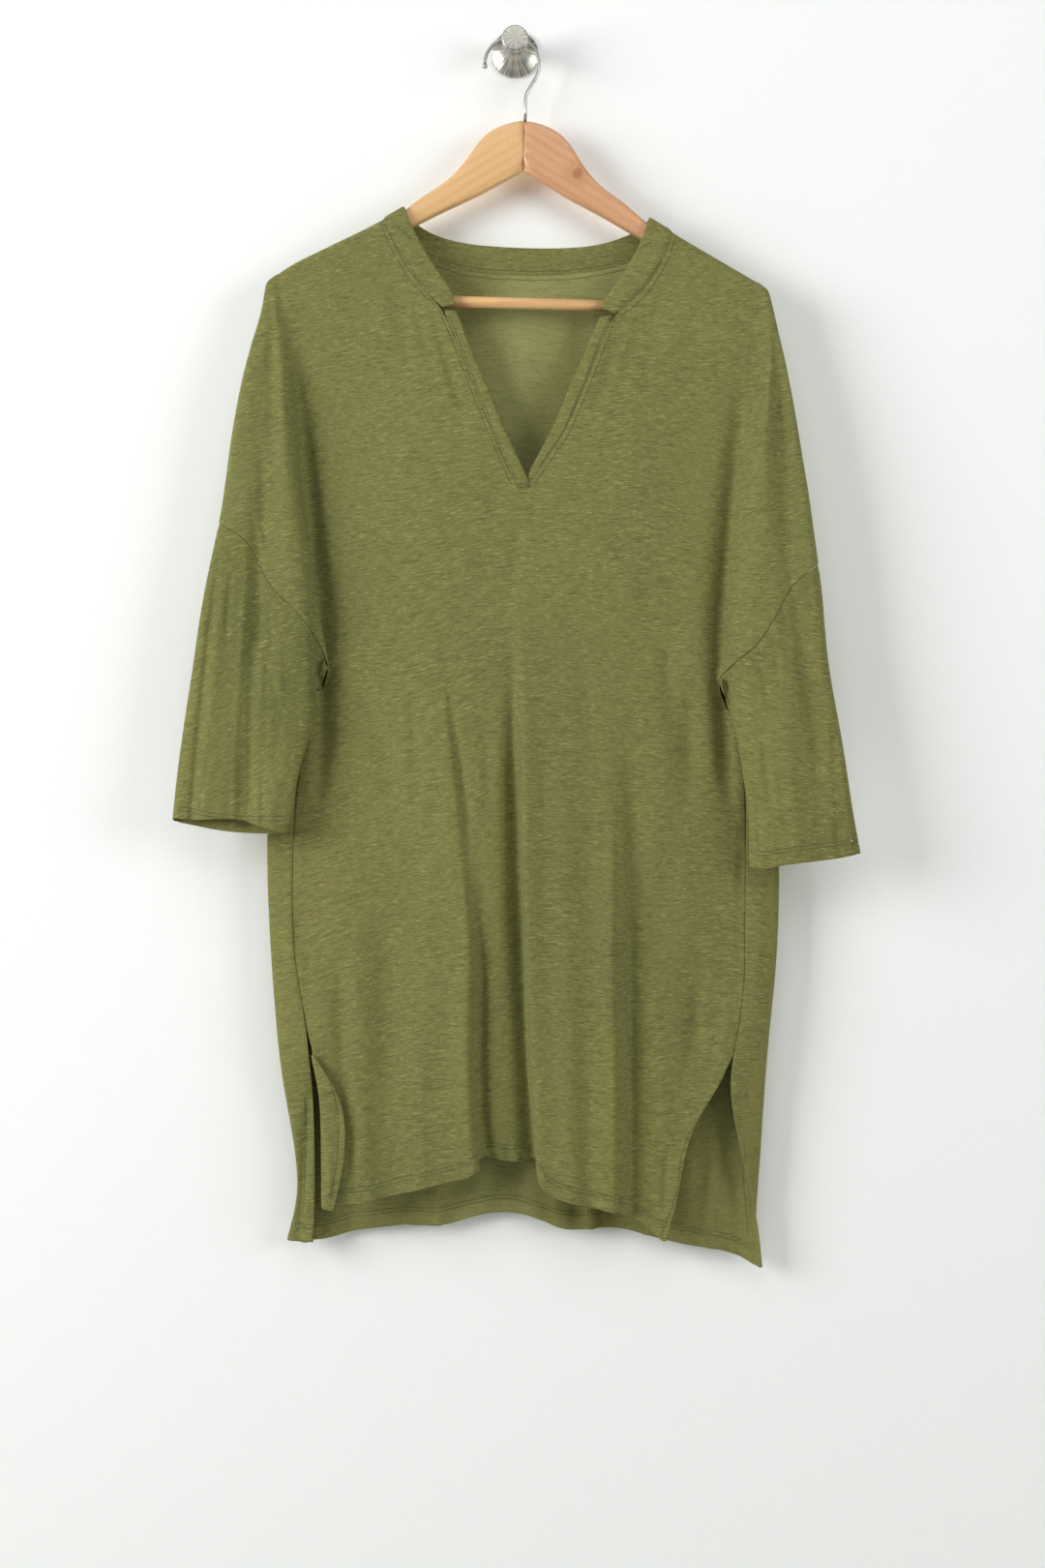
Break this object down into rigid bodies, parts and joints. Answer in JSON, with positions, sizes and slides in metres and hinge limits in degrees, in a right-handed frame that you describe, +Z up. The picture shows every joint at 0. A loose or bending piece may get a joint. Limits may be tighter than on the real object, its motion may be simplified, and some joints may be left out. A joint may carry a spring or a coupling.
{
  "type": "tunic top on a wooden hanger and wall knob",
  "caption": "Oversized olive linen-knit tunic with a long V neck, wide hanging sleeves and side slits, on a wooden hanger hooked over a steel wall knob.",
  "frame": {"origin": "centre of the knob's flat base, on the wall", "axes": "+Y into the wall, -Y out of the wall towards the viewer, +X to the viewer's right, +Z up"},
  "size_m": [0.615, 0.066, 1.1328],
  "materials": {
    "linen_knit": "matte slubby knit",
    "pale_wood": "satin",
    "pink_wood": "satin",
    "bar_wood": "satin",
    "hook_wire": "polished",
    "knob_steel": "brushed"
  },
  "bodies": {
    "root": {"front": "linen_knit", "back": "linen_knit", "sleeve_left": "linen_knit", "sleeve_right": "linen_knit", "neckband": "linen_knit", "placket_left": "linen_knit", "placket_right": "linen_knit", "hanger_arm_left": "pale_wood", "hanger_arm_right": "pink_wood", "hanger_bar": "bar_wood", "hanger_hook": "hook_wire", "wall_knob": "knob_steel"}
  },
  "joints": []
}
